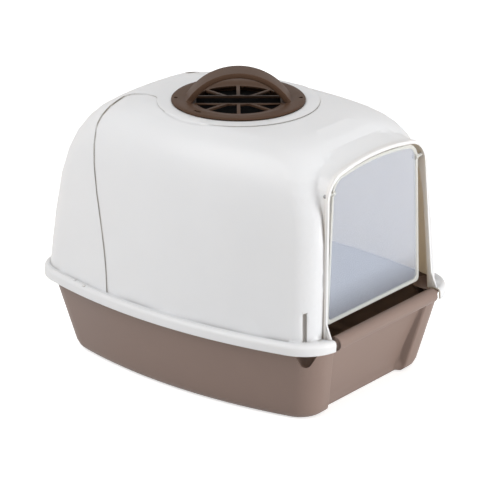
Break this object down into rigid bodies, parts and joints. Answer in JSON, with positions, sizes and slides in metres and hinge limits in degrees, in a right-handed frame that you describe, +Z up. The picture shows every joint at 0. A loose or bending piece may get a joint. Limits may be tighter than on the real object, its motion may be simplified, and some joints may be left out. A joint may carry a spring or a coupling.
{
  "type": "hooded litter box",
  "caption": "Hooded cat litter box: drafted tray with recessed front and rolled lip, domed hood with arched door collar, swinging clear flap, round twist-off vent lid with strap handle.",
  "frame": {"origin": "on the floor, under the middle of the vent, which is half way along the box", "axes": "+Z up, -Y towards the door, +X to the right of someone who stands before the door and looks at it"},
  "size_m": [0.392, 0.5259, 0.421],
  "materials": {
    "taupe_polypropylene": "moulded satin",
    "white_polypropylene": "moulded semi-gloss",
    "clear_flap": "smoky translucent, polished",
    "taupe_lid": "moulded satin",
    "carbon_foam": "open-cell foam"
  },
  "bodies": {
    "tray": {"tray": "taupe_polypropylene"},
    "hood": {"hood": "white_polypropylene", "carbon_filter": "carbon_foam"},
    "flap": {"door_flap": "clear_flap"},
    "lid": {"vent_lid": "taupe_lid"}
  },
  "joints": [
    {"name": "hood_lift", "type": "slide", "parent": "tray", "child": "hood", "axis": [0, 0, 1], "range_m": [0, 0.3]},
    {"name": "flap_swing", "type": "hinge", "parent": "hood", "child": "flap", "pos_m": [0, -0.2325, 0.32], "axis": [1, 0, 0], "range_deg": [-80, 80]},
    {"name": "lid_turn", "type": "hinge", "parent": "hood", "child": "lid", "pos_m": [0, 0, 0.377], "axis": [0, 0, 1], "range_deg": [0, 30]}
  ]
}
